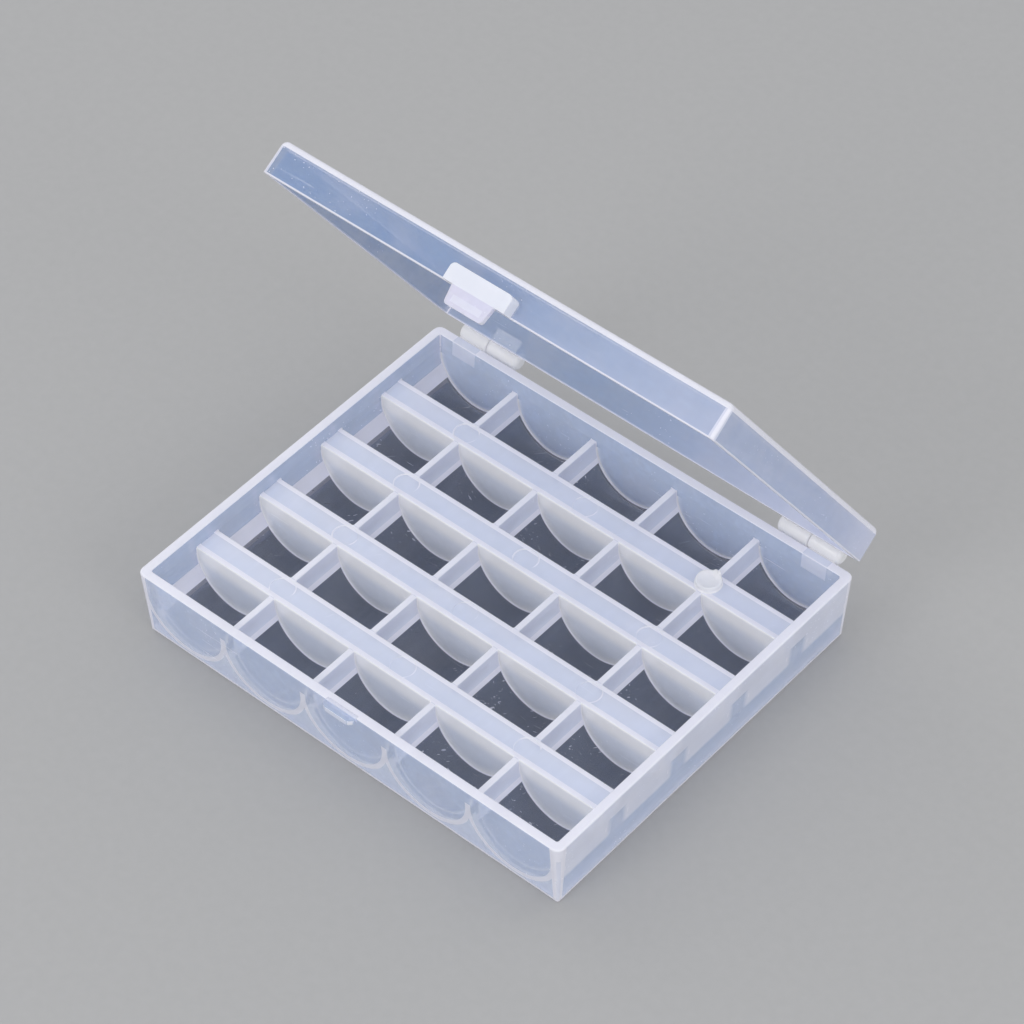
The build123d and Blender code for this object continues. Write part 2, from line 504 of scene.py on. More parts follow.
def lid_knuckle():
    """The knuckle and its arm on the right, and the bore that is cut away."""
    outer = knuckle_split - knuckle_gap / 2
    arm = [
        (rim_half_y - root, lid_rim_z),
        (rim_half_y + seam_gap, lid_rim_z),
        (hinge_y, hinge_z),
        (hinge_y, hinge_z + knuckle_radius),
        (rim_half_y - root, hinge_z + lid_arm_height),
    ]
    arm_end = outer - arm_offset
    return (
        barrel(outer - lid_knuckle_length, outer, knuckle_radius, knuckle_end, small_edge),
        prism(arm, "x", arm_end - lid_arm_width, arm_end, small_edge),
    ), (barrel(outer - bore_length, outer + root, pin_radius + pin_clearance),)


def latch_meshes():
    """The pad on the lid's front wall, the tongue below it and the hook behind the tongue."""
    face = -rim_half_y - pad_reach
    inside = face + tongue_thickness
    pad = rounded_outline([
        (-pad_half, lid_rim_z, 0),
        (pad_half, lid_rim_z, 0),
        (pad_half, lid_rim_z + pad_height, pad_corner),
        (-pad_half, lid_rim_z + pad_height, pad_corner),
    ])
    tongue = rounded_outline([
        (-tongue_tip_half, lid_rim_z - tongue_drop, tongue_corner),
        (tongue_tip_half, lid_rim_z - tongue_drop, tongue_corner),
        (tongue_half, lid_rim_z, 0),
        (tongue_half, lid_rim_z + root, 0),
        (-tongue_half, lid_rim_z + root, 0),
        (-tongue_half, lid_rim_z, 0),
    ])
    hook = [
        (inside - small_edge, hook_top),
        (inside - small_edge, hook_top - hook_height),
        (inside, hook_top - hook_height),
        (inside + hook_reach, hook_top - hook_height / 2),
        (inside + hook_reach, hook_top),
    ]
    return (
        prism(pad, "y", face, root - rim_half_y, pad_edge),
        prism(tongue, "y", face, inside, small_edge),
        prism(hook, "x", -hook_half, hook_half),
    )


# ----- nodes

class Field:
    """A value that nodes work out, used in sums like a number."""

    def __init__(self, socket):
        self.socket = socket
        self.tree = socket.id_data

    def __add__(self, other):
        return calc("ADD", self, other)

    def __sub__(self, other):
        return calc("SUBTRACT", self, other)

    def __rsub__(self, other):
        return calc("SUBTRACT", other, self)

    def __mul__(self, other):
        return calc("MULTIPLY", self, other)

    def __abs__(self):
        return calc("ABSOLUTE", self)


def feed(socket, value):
    """Link a socket to the field that feeds it, or write a plain value into it."""
    if isinstance(value, Field):
        value.tree.links.new(value.socket, socket)
    else:
        socket.default_value = value


def node(tree, kind, feeds=(), **settings):
    made = tree.nodes.new(kind)
    for name, value in settings.items():
        setattr(made, name, value)
    for name, value in dict(feeds).items():
        feed(made.inputs[name], value)
    return made


def field(kind, feeds, output=0, **settings):
    """What a new node makes of the values fed to its sockets, one of which is a field."""
    tree = next(value.tree for value in feeds.values() if isinstance(value, Field))
    return Field(node(tree, kind, feeds, **settings).outputs[output])


def calc(operation, *values):
    return field("ShaderNodeMath", dict(enumerate(values)), operation=operation)


def vector_calc(operation, a, b):
    second = "Scale" if operation == "SCALE" else 1
    return field("ShaderNodeVectorMath", {0: a, second: b}, operation=operation)


def split(vector):
    return [Field(part) for part in node(vector.tree, "ShaderNodeSeparateXYZ", {0: vector}).outputs]


def add_inputs(tree, rows):
    for name, kind, value in rows:
        socket = tree.interface.new_socket(name, in_out="INPUT", socket_type="NodeSocket" + kind)
        if value is not None:
            socket.default_value = value


def given_to(tree):
    """The group's inputs by name."""
    return {socket.name: Field(socket) for socket in node(tree, "NodeGroupInput").outputs}


# ----- the tray's node tree

def grid_of(given, solid, counts, pitches):
    """Copies of an object on a grid round the tray's middle."""
    size_x, size_y = [(given[count] - 1) * given[pitch] for count, pitch in zip(counts, pitches)]
    feeds = {"Size X": size_x, "Size Y": size_y}
    feeds.update({"Vertices X": given[counts[0]], "Vertices Y": given[counts[1]]})
    grid = field("GeometryNodeMeshGrid", feeds, "Mesh")
    source = field("GeometryNodeObjectInfo", {"Object": given[solid]}, "Geometry")
    copies = field("GeometryNodeInstanceOnPoints", {"Points": grid, "Instance": source})
    return field("GeometryNodeRealizeInstances", {0: copies})


def tray_tree():
    """Cuts out of the tray's blank all that repeats."""
    tree = bpy.data.node_groups.new("Pocketed Tray", "GeometryNodeTree")
    add_inputs(tree, (
        ("Blank", "Geometry", None),
        ("Pocket", "Object", None),
        ("Underside", "Object", None),
        ("Hollow", "Object", None),
        ("Pin Mark", "Object", None),
        ("Columns", "Int", COLUMNS),
        ("Rows", "Int", ROWS),
        ("Bands", "Int", ROWS - 1),
        ("Mark Columns", "Int", MARK_COLUMNS),
        ("Column Pitch", "Float", column_pitch),
        ("Row Pitch", "Float", row_pitch),
        ("Mark Pitch", "Float", pin_mark_pitch),
        ("Well Half Size", "Vector", (well_half_x, well_half_y, 1)),
        ("One", "Int", 1),
        ("Plastic", "Material", None),
    ))
    tree.interface.new_socket("Tray", in_out="OUTPUT", socket_type="NodeSocketGeometry")
    given = given_to(tree)
    pockets = grid_of(given, "Pocket", ("Columns", "Rows"), ("Column Pitch", "Row Pitch"))
    hollows = grid_of(given, "Hollow", ("One", "Bands"), ("Column Pitch", "Row Pitch"))
    marks = grid_of(given, "Pin Mark", ("Mark Columns", "Bands"), ("Mark Pitch", "Row Pitch"))
    # the lips of the outermost pockets are held inside the well
    well = given["Well Half Size"]
    position = Field(node(tree, "GeometryNodeInputPosition").outputs[0])
    held = vector_calc("MAXIMUM", vector_calc("MINIMUM", position, well), vector_calc("SCALE", well, -1))
    pockets = field("GeometryNodeSetPosition", {"Geometry": pockets, "Position": held})
    underside = field("GeometryNodeObjectInfo", {"Object": given["Underside"]}, "Geometry")
    tray = given["Blank"]
    for solid in (underside, hollows, pockets, marks):
        tray = field(
            "GeometryNodeMeshBoolean", {"Mesh 1": tray, "Mesh 2": solid}, "Mesh",
            operation="DIFFERENCE", solver="EXACT",
        )
    tray = field("GeometryNodeRealizeInstances", {0: tray})
    tray = field("GeometryNodeSetMaterial", {"Geometry": tray, "Material": given["Plastic"]})
    feed(node(tree, "NodeGroupOutput").inputs[0], tray)
    return tree


def set_input(modifier, name, value):
    for item in modifier.node_group.interface.items_tree:
        if item.name == name and item.in_out == "INPUT":
            modifier[item.identifier] = value


# ----- the pieces

def make_tray(plastic):
    tray = place(tray_blank(), "tray_moulding")
    nodes = tray.modifiers.new("pockets", "NODES")
    nodes.node_group = tray_tree()
    cutters = []
    for name, mesh in (
        ("Pocket", pocket_cutter()),
        ("Underside", underside_cutter()),
        ("Hollow", hollow_cutter()),
        ("Pin Mark", pin_mark_cutter()),
    ):
        cutters.append(place(mesh, mesh.name))
        set_input(nodes, name, cutters[-1])
    set_input(nodes, "Plastic", plastic)
    baked(tray, "tray_moulding")
    for cutter in cutters:
        bpy.data.objects.remove(cutter)
    return tray


def knuckle_pair(name, solids_and_cuts):
    """A knuckle on the right, and its mirror image on the left."""
    pieces = []
    for side in ("right", "left"):
        solids, cuts = solids_and_cuts()
        if side == "left":
            solids, cuts = [[mirrored(mesh) for mesh in meshes] for meshes in (solids, cuts)]
        pieces.append(joined(name + side, solids, cuts))
    return pieces


def make_tray_pieces(plastic):
    tray = make_tray(plastic)
    lip = place(catch_lip(), "front_catch")
    stub = place(gate_stub_mesh(), "gate_stub")
    right, left = knuckle_pair("tray_knuckle_", tray_knuckle)
    pieces = [tray, lip, right, left, stub]
    for piece in pieces:
        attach(piece, "tray")
    moulded = [name for name in frame["nodes"] if name.startswith(("cradle", "band"))]
    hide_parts("tray_frame", *moulded)
    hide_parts("catch")
    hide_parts("tray_hinge_right")
    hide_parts("tray_hinge_left")
    return pieces


def make_lid_pieces():
    lid = place(lid_mesh(), "lid_moulding")
    latch = joined("lid_latch", latch_meshes())
    right, left = knuckle_pair("lid_knuckle_", lid_knuckle)
    pieces = [lid, latch, right, left]
    for piece in pieces:
        piece.data.transform(open_lid)
        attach(piece, "lid")
    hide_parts("lid_shell")
    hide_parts("latch")
    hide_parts("lid_hinge_right")
    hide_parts("lid_hinge_left")
    return pieces


def smooth(piece):
    """Rounded edges shade smoothly and flat faces stay flat."""
    piece.data.shade_smooth()
    piece.data.set_sharp_from_angle(angle=SHADING_ANGLE)
    weigh = piece.modifiers.new("weigh", "WEIGHTED_NORMAL")
    weigh.keep_sharp = True
    baked(piece, piece.data.name)


# ----- shader helpers

soft_edge = 0.12 * MM  # how softly one place runs into the next


def scaled(value, factor, offset):
    return calc("MULTIPLY_ADD", value, factor, offset)


def highest(first, *others):
    for value in others:
        first = calc("MAXIMUM", first, value)
    return first


def change(value, start, end, low=0.0, high=1.0):
    """Low up to start, high past end, and a smooth change between."""
    feeds = {"Value": value, "From Min": start, "From Max": end, "To Min": low, "To Max": high}
    return field("ShaderNodeMapRange", feeds, interpolation_type="SMOOTHSTEP")


def above(value, limit, softness=soft_edge):
    return change(value, limit - softness, limit + softness)


def below(value, limit):
    return change(value, limit - soft_edge, limit + soft_edge, 1.0, 0.0)


def between(value, low, high):
    return above(value, low) * below(value, high)


def distance(a, b):
    return calc("SQRT", a * a + b * b)


def blend(share, a, b):
    return field("ShaderNodeMix", {0: share, 6: a, 7: b}, 2, data_type="RGBA")


def blend_value(share, a, b):
    return field("ShaderNodeMix", {0: share, 2: a, 3: b}, data_type="FLOAT")


def noise(position, scale, detail=2.0, roughness=0.5):
    feeds = {"Vector": position, "Scale": scale, "Detail": detail, "Roughness": roughness}
    return field("ShaderNodeTexNoise", feeds)


def shader_group(name, inputs, outputs):
    """An empty group with named sockets: its tree, what it is given, and what it gives."""
    tree = bpy.data.node_groups.new(name, "ShaderNodeTree")
    add_inputs(tree, inputs)
    for label in outputs:
        tree.interface.new_socket(label, in_out="OUTPUT", socket_type="NodeSocketFloat")
    return tree, given_to(tree), node(tree, "NodeGroupOutput").inputs


def use_group(tree, group, **values):
    made = node(tree, "ShaderNodeGroup", values, node_tree=group)
    return {socket.name: Field(socket) for socket in made.outputs}


# ----- how much plastic lies behind the surface, and painted light in places

PLACE_INPUTS = (("Position", "Vector", None), ("Normal", "Vector", None))
FACING = 0.5  # from here a face counts as facing along an axis
LEVEL = 0.9  # from here a face counts as facing up
FLOOR_FACING = (0.1, 0.2)  # the slope at which the round floor ends
look_in = 3.0 * MM  # how far behind the surface the plastic is looked for
backing_z = 8.2 * MM  # how far down a pocket's end backs the side wall
backing_softness = 1.2 * MM
roof_softness = 0.4 * MM
foot_line = 0.9 * MM  # white line along the foot
rim_highlight_line = 0.4 * MM  # white line along the lid's rim, partly thick plastic and partly a painted highlight
top_reach = 0.35 * MM  # how far below the dividers' tops a face still counts as one
ring_inside = 0.12 * MM  # width of the painted highlight round a pin mark, to both sides
ring_outside = 0.3 * MM
RING_HIGHLIGHT_PATCHES = 160.0  # scale of the patches where that painted highlight is stronger
corner_end_reach = 1.3 * pocket_fillet  # how far a pocket's white corner line reaches along it
corner_round_reach = 1.6 * pocket_fillet  # and out towards its round bottom

# How milky each place is, against solid plastic; some of it painted light
wall_haze = 0.22  # thicker outer walls
roof_haze = 0.62  # tops of the bands
panel_haze = 0.78  # side walls that a pocket's end backs
corner_haze = 0.8  # upright corners
flank_milk_and_light = 0.7  # sides of the dividers: solid plastic, partly painted light
band_wall_milk_and_light = 0.6  # walls of the bands: milky plastic, partly painted light for light shining through them
window_clearing = 0.5  # what the rim loses where it stands over a hinge arm
arm_haze = 0.6  # the back wall where a hinge arm grows from it
front_cover = 0.1  # what the front wall's own skin hides of the shells behind it
hook_haze = 0.5  # the hook, seen through the tongue

# Where milkiness or painted light grows: from where, to where, and how strong it is at both
band_top_painted_light = (9.5 * MM, 13.2 * MM, 0.0, 0.38)  # painted light: a band's wall lighter up towards its top
band_foot_milk = (8.8 * MM, 11.2 * MM, 0.0, 0.34)  # out from a pocket's axis
end_wall_milk = (9.6 * MM, 11.3 * MM, 0.0, 0.75)  # the same on the outermost end walls
# painted highlight on the lid, towards the right-hand end and the hinge
lid_right_highlight = (-20 * MM, 55 * MM, 0.0, 1.0)
lid_back_highlight = (5 * MM, 50 * MM, 0.0, 1.0)
lid_right_highlight_level, lid_back_highlight_level = 0.35, 0.65
ring_highlight_strength = (0.40, 0.60, 0.6, 1.3)
catch_root_milk = (-rim_half_y - 0.4 * MM, -rim_half_y, 0.0, 0.7)
catch_edge_milk = (-rim_half_y - catch_reach, small_edge - rim_half_y - catch_reach, 0.8, 0.0)


def behind(given, reach):
    """The point a little way behind the surface."""
    return vector_calc("ADD", given["Position"], vector_calc("SCALE", given["Normal"], -reach))


def from_pocket(x, y, z):
    """How far along from the nearest pocket's middle, and how far from its round bottom's axis."""
    across = calc("PINGPONG", x, column_pitch / 2)
    along = calc("PINGPONG", y, row_pitch / 2)
    return along, distance(across, calc("MINIMUM", z - pocket_centre_z, 0.0))


def outside_skin(at, facing, half):
    """One on faces that stand outside a half size and face away from the middle."""
    return above(calc("SIGN", at) * facing, FACING) * above(abs(at), half)


def corners_and_edges(at_x, at_y, half_x, half_y, past_end):
    """One where the surface lies past the hollow in two directions, so that much plastic is behind it."""
    past_x = above(abs(at_x), half_x)
    past_y = above(abs(at_y), half_y)
    return highest(past_x * past_y * corner_haze, highest(past_x, past_y) * above(past_end, 0.0))


def shells_behind(along, radial, z, side_skin, front_skin):
    """The round shells and the bands' walls, where they stand behind the skin of a pocket."""
    shells = below(along, half_pocket) * between(radial, pocket_radius, shell_radius)
    band_walls = between(along, half_pocket, half_pocket + band_wall) * below(radial, shell_radius)
    hidden = highest(shells, band_walls) * below(z, divider_top)
    return hidden * (1.0 - highest(side_skin, front_skin * front_cover))


def walls_behind(x, y, z):
    """The outer walls. The hinge arms are windows in the rim and milky patches on the back wall."""
    draft_here = (tray_height - z) * (tray_draft / tray_height)
    by_arm = (
        between(abs(x), tray_arm_start, tray_arm_start + tray_arm_width)
        * above(y, well_half_y - look_in)
        * above(z, hinge_z - tray_arm_height)
    )
    walls = (
        highest(above(abs(x), well_half_x), above(abs(y), well_half_y))
        * below(abs(x) + draft_here, rim_half_x)
        * below(abs(y) + draft_here, rim_half_y)
        * scaled(by_arm, -window_clearing, 1.0)
    )
    return highest(walls, by_arm * above(y, well_half_y) * arm_haze)


def outer_panels(along, z, side_skin, front_skin):
    """The haze of the outer walls, milkier where a pocket's end or a band's roof backs the side walls."""
    in_row = change(along, half_pocket, half_pocket + 2 * band_wall, 1.0, 0.0)
    backed = highest(
        in_row * above(z, backing_z, backing_softness),
        above(z, divider_top - band_roof, roof_softness),
    )
    return highest(side_skin * backed * panel_haze, highest(side_skin, front_skin) * wall_haze)


def divider_flanks(at_x, at_y, at_z, facing_x):
    """Sides of the dividers above the height where two shells meet: the plastic is solid there, and they
    are made whiter with painted light as well.
    """
    return (
        above(at_z, shells_meet_z)
        * below(at_z, divider_top)
        * above(abs(facing_x), FACING)
        * below(abs(at_x), well_half_x - divider / 2)
        * below(abs(at_y), well_half_y + soft_edge)
    )


def pin_mark_highlights(position, at_x, at_y):
    """A painted highlight round each pin mark, stronger in some places than in others."""
    ring_x = calc("PINGPONG", at_x, pin_mark_pitch / 2)
    ring_y = row_pitch / 2 - calc("PINGPONG", at_y, row_pitch / 2)
    from_pin = distance(ring_x, ring_y)
    line = between(from_pin, pin_mark_radius - ring_inside, pin_mark_radius + ring_outside)
    return line * change(noise(position, RING_HIGHLIGHT_PATCHES, detail=1.0), *ring_highlight_strength)


def tray_depth_group():
    """Where the tray's plastic is thick behind its skin, and which of its faces are which, with painted
    light on the sides of the dividers and bands and a painted highlight round the pin marks.
    """
    tree, given, gives = shader_group(
        "Plastic Behind Tray Skin", PLACE_INPUTS, ("Depth", "Floor", "Corner", "Round", "Pocket Side")
    )
    x, y, z = split(behind(given, look_in))
    at_x, at_y, at_z = split(given["Position"])
    facing_x, facing_y, facing_z = split(given["Normal"])
    along, radial = from_pocket(x, y, z)
    here_along, here_radial = from_pocket(at_x, at_y, at_z)
    side_skin = outside_skin(at_x, facing_x, well_half_x)
    front_skin = outside_skin(at_y, facing_y, well_half_y)
    tops = above(facing_z, LEVEL) * above(at_z, divider_top - top_reach)
    # a band's wall is milkier where it runs into the round floor, and lighter under its top edge and all
    # over with painted light
    along_y = above(abs(facing_y), FACING)
    band_faces = along_y * below(abs(at_y), well_half_y - band_wall) * below(at_z, divider_top)
    band_wall_whitening = highest(change(at_z, *band_top_painted_light), change(here_radial, *band_foot_milk)) + band_wall_milk_and_light
    end_faces = (
        along_y
        * between(abs(at_y), well_half_y - band_wall, well_half_y + mouth_flare)
        * below(at_z, pocket_centre_z)
        * change(here_radial, *end_wall_milk)
    )
    feed(gives["Depth"], highest(
        shells_behind(along, radial, z, side_skin, front_skin),
        walls_behind(x, y, z),
        divider_flanks(at_x, at_y, at_z, facing_x) * flank_milk_and_light,
        outer_panels(along, z, side_skin, front_skin),
        corners_and_edges(at_x, at_y, well_half_x, well_half_y, foot_line - at_z),
        tops * roof_haze,
        band_faces * band_wall_whitening,
        end_faces,
        # a painted highlight round each pin mark on the tops
        tops * pin_mark_highlights(given["Position"], at_x, at_y),
    ))
    feed(
        gives["Floor"],
        below(here_along, half_pocket - pocket_fillet / 2)
        * below(here_radial, pocket_radius + cradle_wall / 2)
        * below(at_z, shells_meet_z)
        * change(facing_z, *FLOOR_FACING),
    )
    feed(gives["Pocket Side"], highest(band_faces, end_faces))
    feed(
        gives["Corner"],
        between(here_along, half_pocket - corner_end_reach, half_pocket + soft_edge)
        * between(here_radial, pocket_radius - corner_round_reach, pocket_radius + soft_edge)
        * below(at_z, pocket_centre_z),
    )
    feed(gives["Round"], below(at_z, divider_top - pocket_fillet))
    return tree


def lid_depth_group():
    """Where the lid's plastic is thick behind its skin, with the lid shut, and a painted highlight
    towards the hinge end.
    """
    tree, given, gives = shader_group("Plastic Behind Lid Skin", PLACE_INPUTS, ("Depth",))
    x, y, z = split(behind(given, look_in))
    at_x, at_y, at_z = split(given["Position"])
    hollow = (
        below(abs(x), rim_half_x - lid_wall)
        * below(abs(y), rim_half_y - lid_wall)
        * below(z, lid_top - lid_roof)
    )
    outline = below(abs(x), rim_half_x) * below(abs(y), rim_half_y) * between(z, lid_rim_z, lid_top)
    past_end = calc("MAXIMUM", at_z - (lid_top - lid_roof), lid_rim_z + rim_highlight_line - at_z)
    edges = corners_and_edges(at_x, at_y, rim_half_x - lid_wall, rim_half_y - lid_wall, past_end)
    # painted highlight: whiter towards the right-hand end, most of all beside the hinge
    to_right = change(at_x, *lid_right_highlight)
    to_back = change(at_y, *lid_back_highlight)
    painted_end_highlight = highest(to_right * lid_right_highlight_level, to_right * to_back * lid_back_highlight_level)
    feed(gives["Depth"], highest(outline * (1.0 - hollow), edges, painted_end_highlight))
    return tree


def latch_depth_group():
    """Where the latch is thick behind its skin: the pad, and the hook behind the tongue."""
    tree, given, gives = shader_group("Plastic Behind Latch Skin", PLACE_INPUTS, ("Depth",))
    x, _, z = split(behind(given, tongue_thickness + hook_reach / 2))
    hook = below(abs(x), hook_half) * between(z, hook_top - hook_height, hook_top) * hook_haze
    feed(gives["Depth"], highest(above(z, lid_rim_z), hook))
    return tree


def catch_depth_group():
    """The catch is thick only where it grows from the wall, and along its free edge."""
    tree, given, gives = shader_group("Plastic Behind Catch Skin", PLACE_INPUTS, ("Depth",))
    _, y, _ = split(given["Position"])
    feed(gives["Depth"], highest(change(y, *catch_root_milk), change(y, *catch_edge_milk)))
    return tree


# ----- what moulding and handling leave, and a painted highlight along edges

CLOUD_SCALE = 90.0
STREAK_FINENESS = 3.0
WARMTH_SHIFT = (3.1, 1.7, 0.4)
SCRATCH_SCALE = 1800.0
SCRATCH_TURN = (0.3, 0.2, radians(35))
SCRATCHES_ALONG_Y = (1.0, 0.03, 1.0)
SCRATCHES_ALONG_X = (0.03, 1.0, 0.6)
SCRATCH_STARTS = (0.72, 0.73)  # the higher, the fewer scratches, one way and the other
SCRATCH_SOFTNESS = 0.03
PATCH_SCALE = 60.0
SPECK_SCALE = 260.0
SPECK_START = 0.95  # the higher, the fewer specks
SPECK_SOFTNESS = 0.02

# Between which values of the noise or the distance each mask runs from none to full
cloud_range = (0.3, 0.7)
streak_range = (0.45, 0.75)
warmth_range = (0.5, 0.72)
patch_range = (0.45, 0.62)
speck_range = (0.015, 0.045, 1.0, 0.0)
edge_range = (0.86, 0.96, 1.0, 0.0)


def painted_edge_highlight_group():
    """A painted highlight along rounded edges, where the skin turns from one side to the next."""
    tree, given, gives = shader_group("Edge Glow", (("Normal", "Vector", None),), ("Edge",))
    squarest = highest(*[abs(part) for part in split(given["Normal"])])
    feed(gives["Edge"], change(squarest, *edge_range))
    return tree


def haze_group():
    """Cloudiness in the plastic: soft clouds, and streaks drawn out the way the melt ran."""
    tree, given, gives = shader_group("Melt Haze", (
        ("Position", "Vector", None),
        ("Cloud Scale", "Float", CLOUD_SCALE),
        ("Flow", "Vector", (1, 1, 1)),
    ), ("Clouds", "Streaks", "Warmth"))
    position, scale = given["Position"], given["Cloud Scale"]
    feed(gives["Clouds"], change(noise(position, scale, 3.0, 0.55), *cloud_range))
    drawn = vector_calc("MULTIPLY", position, given["Flow"])
    feed(gives["Streaks"], change(noise(drawn, scale * STREAK_FINENESS, 2.0, 0.6), *streak_range))
    moved = vector_calc("ADD", position, WARMTH_SHIFT)
    feed(gives["Warmth"], change(noise(moved, scale, 1.0, 0.5), *warmth_range))
    return tree


def scratch_lines(position, stretch, scale, start):
    """Short thin lines along one direction."""
    drawn = vector_calc("MULTIPLY", position, stretch)
    return change(noise(drawn, scale, 1.0, 0.4), start, start + SCRATCH_SOFTNESS)


def handling_group():
    """Fine scratches two ways, and specks of dust."""
    tree, given, gives = shader_group("Handling Marks", (
        ("Position", "Vector", None),
        ("Scratch Scale", "Float", SCRATCH_SCALE),
        ("Speck Scale", "Float", SPECK_SCALE),
    ), ("Scratches", "Specks"))
    position, scale = given["Position"], given["Scratch Scale"]
    turned = field("ShaderNodeMapping", {"Vector": position, "Rotation": SCRATCH_TURN})
    one = scratch_lines(turned, SCRATCHES_ALONG_Y, scale, SCRATCH_STARTS[0])
    other = scratch_lines(position, SCRATCHES_ALONG_X, scale, SCRATCH_STARTS[1])
    patches = change(noise(position, PATCH_SCALE, detail=1.0), *patch_range)
    feed(gives["Scratches"], highest(one, other) * patches)
    dust = node(tree, "ShaderNodeTexVoronoi", {"Vector": position, "Scale": given["Speck Scale"]})
    size = change(Field(dust.outputs["Distance"]), *speck_range)
    _, pick, _ = split(Field(dust.outputs["Color"]))
    feed(gives["Specks"], size * change(pick, SPECK_START, SPECK_START + SPECK_SOFTNESS))
    return tree


# ----- plastics

CLEAR_BLUE = (0.57, 0.68, 0.92, 1)
LID_BLUE = (0.29, 0.40, 0.63, 1)
MILK_WHITE = (0.84, 0.84, 0.96, 1)
SOFT_WHITE = (0.96, 0.95, 0.99, 1)
WARM_GLOW = (0.88, 0.79, 0.80, 1)
PAD_BLUE = (0.84, 0.86, 0.98, 1)
TONGUE_MILK = (0.74, 0.74, 0.90, 1)
# painted shade: the pockets' floors are painted dark
FLOOR_PAINTED_SHADE = (0.05, 0.054, 0.075, 1)

light_through = 0.45  # share of light that milky plastic lets on to what is behind it
thin_swing = 0.08  # how much clouds and streaks change the opacity of thin plastic
solid_swing = 0.06  # how much clouds change that of solid plastic and of pocket floors
warm_share = 0.10
scratch_white = 0.65
corner_white = 0.95
skin_roughness = (0.10, 0.12)  # what clouds add to it, and the least
floor_roughness = (0.05, 0.08)
scratch_roughness = 0.25
RIPPLE_SCALE = 350.0
ripple_height = 0.6
scratch_height = -0.5
bump_strength = 0.2
bump_height = 0.05 * MM
POLYPROPYLENE = {
    "IOR": 1.49,
    "Specular IOR Level": 0.5,
    "Subsurface Weight": 0.5,
    "Subsurface Radius": (1.0, 1.0, 1.0),
    "Subsurface Scale": 1.2 * MM,
}


def turned_back(vector, turn, kind):
    """A place or a direction on the open lid, given as it is on the shut one."""
    feeds = {"Vector": vector, "Rotation": turn.to_euler()}
    if kind == "POINT":
        feeds["Location"] = turn.translation
    return field("ShaderNodeMapping", feeds, vector_type=kind)


def surface_place(tree, shut):
    """Where the surface is and which way it faces, on the lid as if it were shut."""
    found = node(tree, "ShaderNodeTexCoord").outputs
    position, normal = Field(found["Object"]), Field(found["Normal"])
    if shut is None:
        return position, normal
    return turned_back(position, shut, "POINT"), turned_back(normal, shut, "VECTOR")


def moulded_plastic(
    name, depth_group, clear_alpha, solid_alpha, thin=CLEAR_BLUE, thick=MILK_WHITE, flow=(1, 1, 1),
    shut=None, floor_alpha=None,
):
    """Milky polypropylene: see-through and bluish where it is thin, white where it is thick."""
    material = bpy.data.materials.new(name)
    material.use_nodes = True
    tree = material.node_tree
    position, normal = surface_place(tree, shut)
    haze = use_group(tree, groups["haze"], Position=position, Flow=flow)
    marks = use_group(tree, groups["handling"], Position=position)
    # painted highlight along rounded edges
    edge_highlight = use_group(tree, groups["edge"], Normal=normal)["Edge"]
    clouds, scratches = haze["Clouds"], marks["Scratches"]
    clear = scaled(clouds, thin_swing, clear_alpha - thin_swing / 2)
    clear = scaled(haze["Streaks"], thin_swing, clear)
    solid = scaled(clouds, solid_swing, solid_alpha - solid_swing / 2)
    body = blend(haze["Warmth"] * warm_share, thin, WARM_GLOW)
    roughness = scaled(clouds, *skin_roughness)
    depth = 1.0
    if depth_group:
        skin = use_group(tree, depth_group, Position=position, Normal=normal)
        depth = skin["Depth"]
    if floor_alpha is not None:
        # a pocket's floor is clear and smooth, painted dark as a painted shade of what shows through it,
        # with a white line in its corners
        floor = skin["Floor"]
        clear = blend_value(floor, clear, scaled(clouds, solid_swing, floor_alpha))
        body = blend(floor, body, FLOOR_PAINTED_SHADE)
        roughness = blend_value(floor, roughness, scaled(clouds, *floor_roughness))
        depth = highest(depth, skin["Corner"] * corner_white)
        edge_highlight = edge_highlight * (1.0 - skin["Round"])
        # pocket sides take a brighter white, partly painted light shining through them
        thick = blend(skin["Pocket Side"], thick, SOFT_WHITE)
    # the painted edge highlight whitens the skin like thick plastic
    depth = highest(depth, scratches * scratch_white, marks["Specks"], edge_highlight)
    rays = node(tree, "ShaderNodeLightPath").outputs
    lit = highest(Field(rays["Is Shadow Ray"]), Field(rays["Is Diffuse Ray"]))
    ripple = noise(position, RIPPLE_SCALE) * ripple_height
    bump = field("ShaderNodeBump", {
        "Strength": bump_strength,
        "Distance": bump_height,
        "Height": scaled(scratches, scratch_height, ripple),
    })
    surface = tree.nodes["Principled BSDF"].inputs
    feed(surface["Base Color"], blend(depth, body, thick))
    feed(surface["Alpha"], blend_value(depth, clear, solid) * scaled(lit, -light_through, 1.0))
    feed(surface["Roughness"], scaled(scratches, scratch_roughness, roughness))
    feed(surface["Normal"], bump)
    for label, value in POLYPROPYLENE.items():
        surface[label].default_value = value
    return material


# ----- stage, camera, lamps

WORLD_COLOUR = (0.98, 0.99, 1, 1)
world_strength = 0.66
FLOOR_PALE = (0.43, 0.43, 0.435, 1)
FLOOR_DEEP = (0.40, 0.40, 0.405, 1)
FLOOR_GRAIN = 400.0
stage_roughness = 0.7
floor_half = 3
floor_gap = 0.2 * MM  # between the floor and the tray's foot

camera_azimuth = radians(41.07)
camera_elevation = radians(47.41)
camera_roll = radians(-0.69)
camera_target = Vector((-15.19, 23.39, 10)) * MM
camera_distance = 951.24 * MM
camera_lens = 144.3
camera_sensor = 36
camera_range = 20


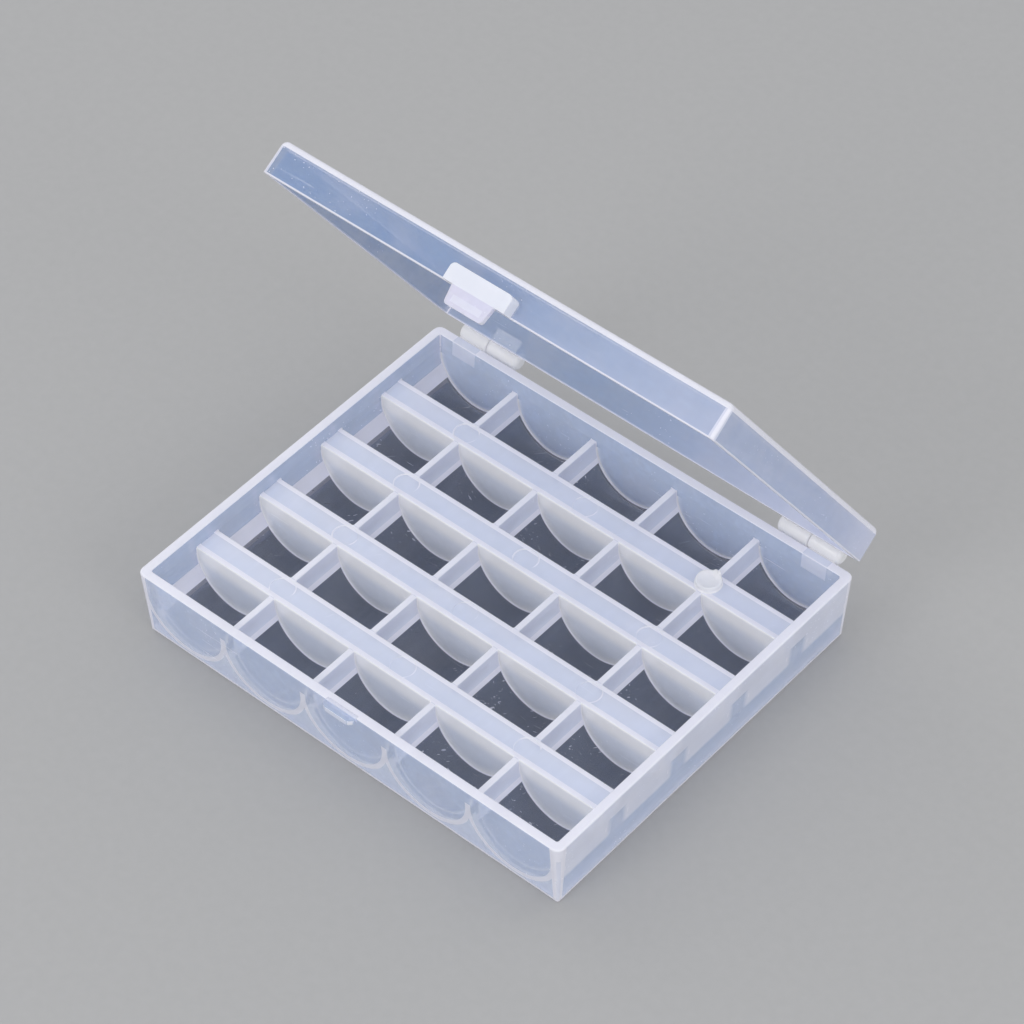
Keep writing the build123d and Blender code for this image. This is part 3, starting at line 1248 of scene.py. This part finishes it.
def make_camera():
    data = bpy.data.cameras.new("camera")
    data.sensor_width = camera_sensor
    data.lens = camera_lens
    data.clip_end = camera_range
    camera = bpy.data.objects.new("camera", data)
    scene.collection.objects.link(camera)
    back = Vector((
        sin(camera_azimuth) * cos(camera_elevation),
        -cos(camera_azimuth) * cos(camera_elevation),
        sin(camera_elevation),
    ))
    level_right = Vector((0, 0, 1)).cross(back).normalized()
    level_up = back.cross(level_right)
    right = level_right * cos(camera_roll) + level_up * sin(camera_roll)
    up = level_up * cos(camera_roll) - level_right * sin(camera_roll)
    turn = Matrix((right, up, back)).transposed()
    camera.matrix_world = Matrix.Translation(camera_target + back * camera_distance) @ turn.to_4x4()
    scene.camera = camera


def make_floor():
    bm = bmesh.new()
    bmesh.ops.create_grid(bm, x_segments=1, y_segments=1, size=floor_half)
    floor = place(finish_mesh(bm, "floor"), "floor")
    floor.data.transform(Matrix.Translation((0, 0, -floor_gap)))
    material = bpy.data.materials.new("floor_paint")
    material.use_nodes = True
    tree = material.node_tree
    surface = tree.nodes["Principled BSDF"].inputs
    position, _ = surface_place(tree, None)
    feed(surface["Base Color"], blend(noise(position, FLOOR_GRAIN, 3.0), FLOOR_PALE, FLOOR_DEEP))
    surface["Roughness"].default_value = stage_roughness
    floor.data.materials.append(material)


def lamp(name, direction, distance, size, power):
    """A square soft box that hangs in a direction from the part and faces it."""
    data = bpy.data.lights.new(name, "AREA")
    data.size = size
    data.energy = power
    made = bpy.data.objects.new(name, data)
    towards = Vector(direction).normalized()
    facing = towards.to_track_quat("Z", "Y").to_matrix().to_4x4()
    made.matrix_world = Matrix.Translation(towards * distance) @ facing
    scene.collection.objects.link(made)


# ----- making

groups = {
    "edge": painted_edge_highlight_group(),
    "haze": haze_group(),
    "handling": handling_group(),
}
shut = open_lid.inverted()
tray_plastic = moulded_plastic(
    "tray_plastic", tray_depth_group(), 0.46, 0.92, flow=(1, 0.12, 1), floor_alpha=0.62
)
lid_plastic = moulded_plastic(
    "lid_plastic", lid_depth_group(), 0.44, 0.88, thin=LID_BLUE, flow=(0.3, 0.3, 1), shut=shut
)
latch_plastic = moulded_plastic(
    "latch_plastic", latch_depth_group(), 0.80, 0.92, thin=TONGUE_MILK, thick=PAD_BLUE, shut=shut
)
catch_plastic = moulded_plastic("catch_plastic", catch_depth_group(), 0.25, 0.85)
# knuckles and the stub are solid all through
knuckle_plastic = moulded_plastic("knuckle_plastic", None, 0.6, 0.74, thick=SOFT_WHITE, flow=(0.08, 1, 1))

finishes = {
    "tray_moulding": tray_plastic,
    "front_catch": catch_plastic,
    "lid_moulding": lid_plastic,
    "lid_latch": latch_plastic,
}
for piece in make_tray_pieces(tray_plastic) + make_lid_pieces():
    piece.data.materials.clear()
    piece.data.materials.append(finishes.get(piece.name, knuckle_plastic))
    smooth(piece)

make_camera()
make_floor()
lamp("key", (-0.15, -0.8, 0.55), distance=1.3, size=0.5, power=3.9)
lamp("left", (-0.85, 0.1, 0.6), distance=1.2, size=0.7, power=1.8)
lamp("right", (0.9, -0.15, 0.5), distance=1.2, size=0.6, power=3.2)
lamp("back", (0.2, 0.7, 1.0), distance=1.3, size=0.8, power=1.8)
scene.world = bpy.data.worlds.new("world")
scene.world.use_nodes = True
background = scene.world.node_tree.nodes["Background"].inputs
background["Color"].default_value = WORLD_COLOUR
background["Strength"].default_value = world_strength
scene.view_settings.view_transform = "Standard"
scene.cycles.transparent_max_bounces = 64
